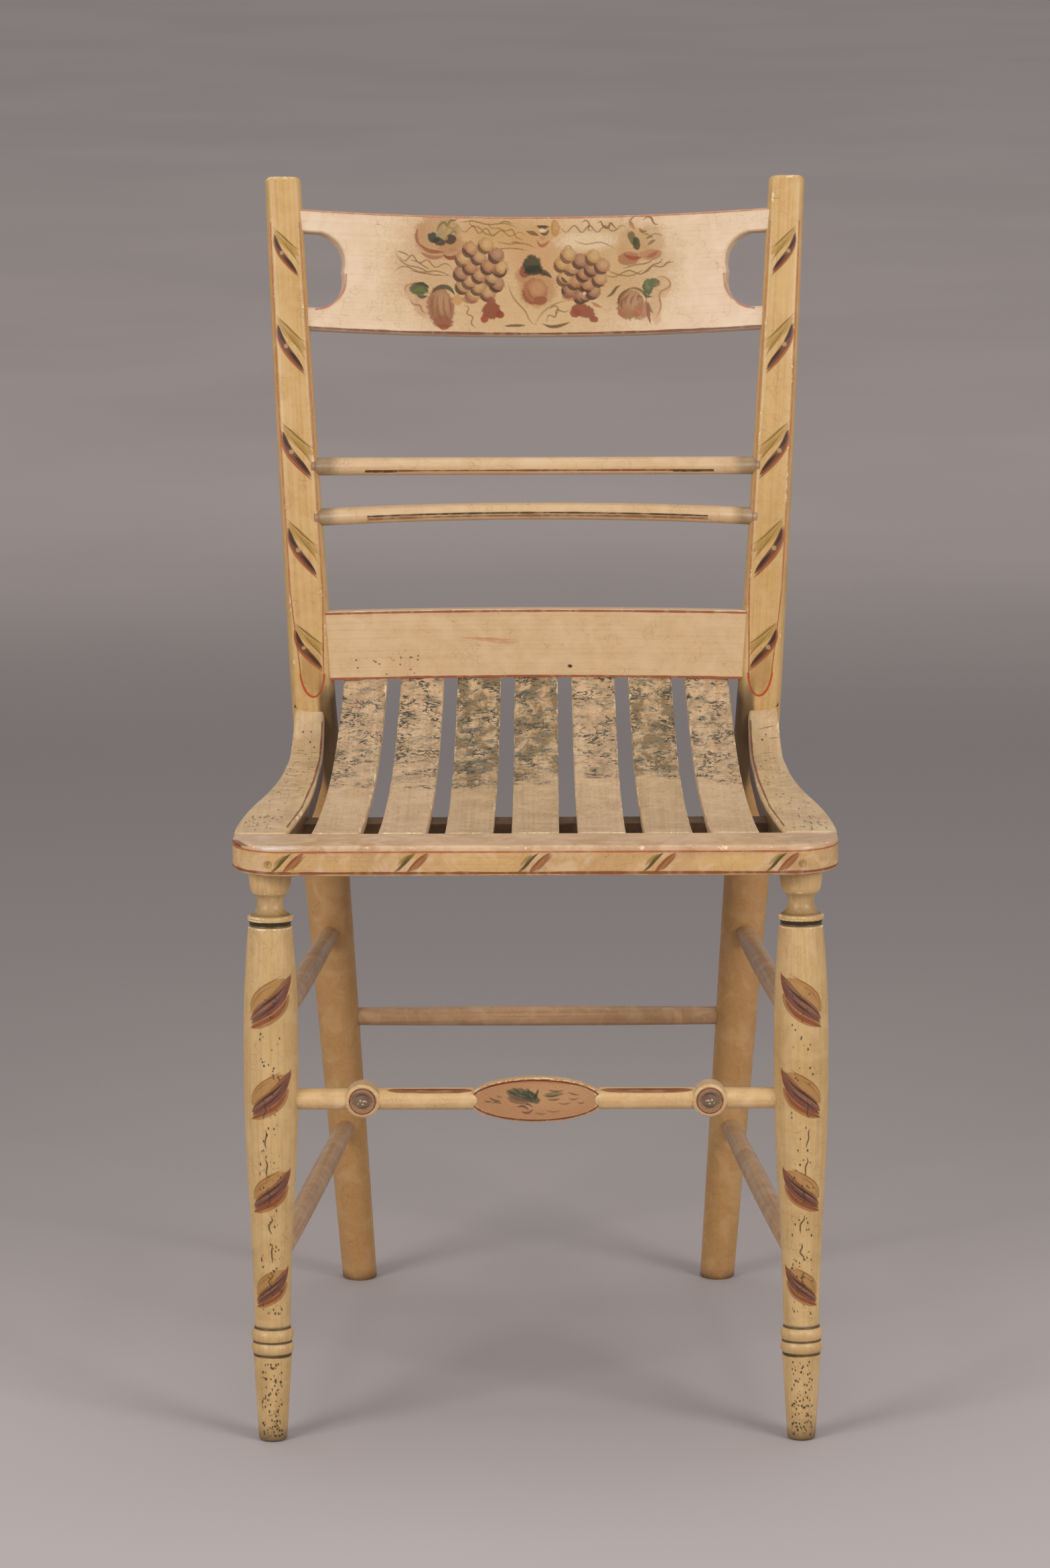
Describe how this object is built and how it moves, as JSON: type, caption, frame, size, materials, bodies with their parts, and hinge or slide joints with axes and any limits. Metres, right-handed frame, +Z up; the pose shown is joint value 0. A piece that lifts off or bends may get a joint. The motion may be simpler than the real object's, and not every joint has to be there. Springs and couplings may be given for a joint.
{
  "type": "side chair",
  "caption": "Painted wooden side chair with a slat seat, turned front legs, bowed back rails and a crest with hand holds.",
  "frame": {"origin": "on the floor, in the middle of the chair's width and of its depth from the seat front to the crest rail's back", "axes": "+Z up, +Y from the seat front towards the back, X across the chair, which is alike on both sides"},
  "size_m": [0.432, 0.4796, 0.871],
  "materials": {
    "frame_paint": "mustard cream paint, worn and crazed, with stencilled leaves and red lining",
    "back_paint": "cream paint, aged, with stencilled fruit and red lining",
    "seat_paint": "thin tan paint, smudged with blue grey",
    "stretcher_paint": "worn paint over bare grey brown wood",
    "bare_wood": "unpainted, dark with age",
    "iron_nail": "dull, rust brown"
  },
  "bodies": {
    "root": {"back_spindle_lower": "back_paint", "back_spindle_upper": "back_paint", "crest_rail": "back_paint", "front_leg_left": "frame_paint", "front_leg_right": "frame_paint", "front_rail": "frame_paint", "front_stretcher": "stretcher_paint", "leg_pins": "frame_paint", "lower_back_rail": "back_paint", "rear_post_left": "frame_paint", "rear_post_right": "frame_paint", "rear_stretcher": "stretcher_paint", "seat_batten": "bare_wood", "seat_slat_1": "seat_paint", "seat_slat_2": "seat_paint", "seat_slat_3": "seat_paint", "seat_slat_4": "seat_paint", "seat_slat_5": "seat_paint", "seat_slat_6": "seat_paint", "seat_slat_7": "seat_paint", "side_rail_left": "frame_paint", "side_rail_nails": "iron_nail", "side_rail_right": "frame_paint", "side_stretcher_lower_left": "stretcher_paint", "side_stretcher_lower_right": "stretcher_paint", "side_stretcher_upper_left": "stretcher_paint", "side_stretcher_upper_right": "stretcher_paint", "slat_nails": "iron_nail"}
  },
  "joints": []
}
